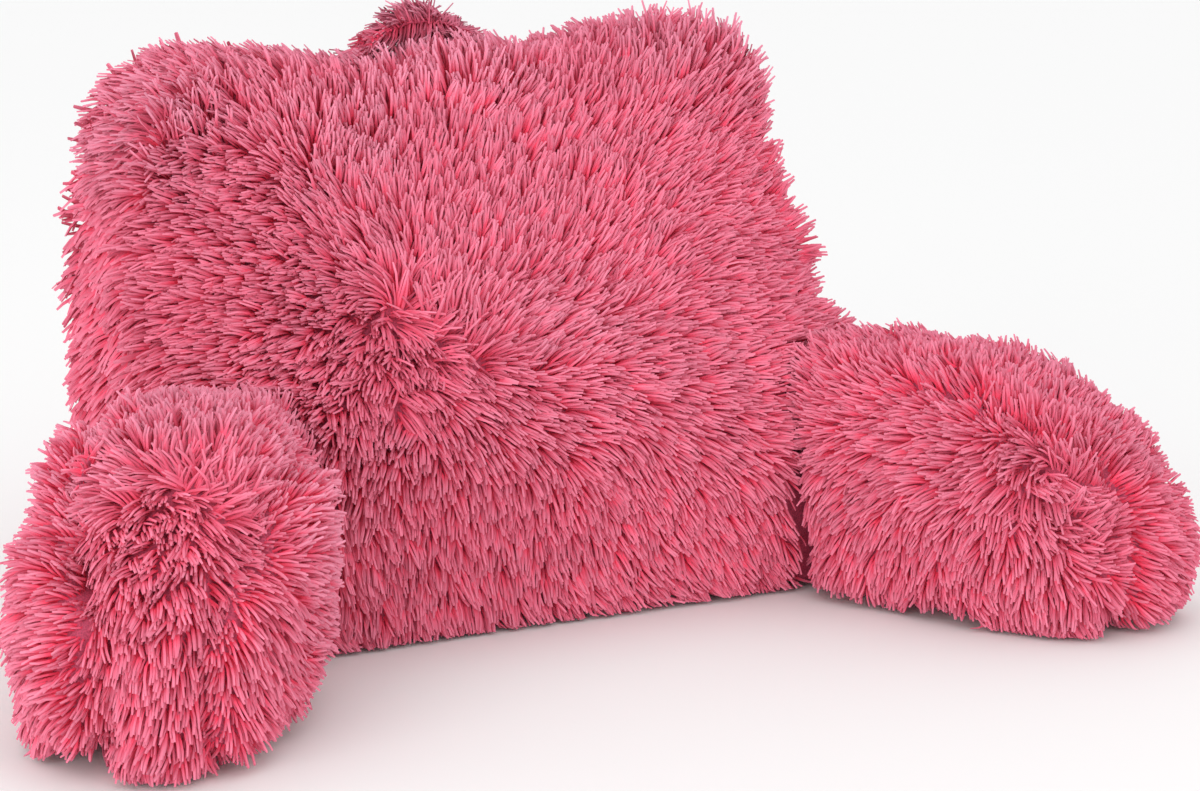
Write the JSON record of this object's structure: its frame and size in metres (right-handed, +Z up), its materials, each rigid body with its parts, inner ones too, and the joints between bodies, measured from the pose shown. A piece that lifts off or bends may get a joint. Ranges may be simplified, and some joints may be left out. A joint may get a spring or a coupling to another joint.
{
  "type": "reading pillow with arms",
  "caption": "Shaggy backrest pillow: a wedge-shaped back cushion, filled arms splayed to the front, and a short carry loop over its top.",
  "frame": {"origin": "on the surface the pillow stands on, at the middle of the back cushion's width and just in front of the middle of its flat base", "axes": "+Z up, -Y towards the reader, +X to the right as seen by someone facing the front of the pillow"},
  "size_m": [0.8753, 0.5172, 0.4223],
  "materials": {
    "shaggy_pile": "long shaggy polyester pile in mid pink, matte with a soft sheen",
    "loop_pile": "the same pile on the carry loop"
  },
  "bodies": {
    "root": {"back_cushion": "shaggy_pile", "arm_left": "shaggy_pile", "arm_right": "shaggy_pile", "carry_loop": "loop_pile"}
  },
  "joints": []
}
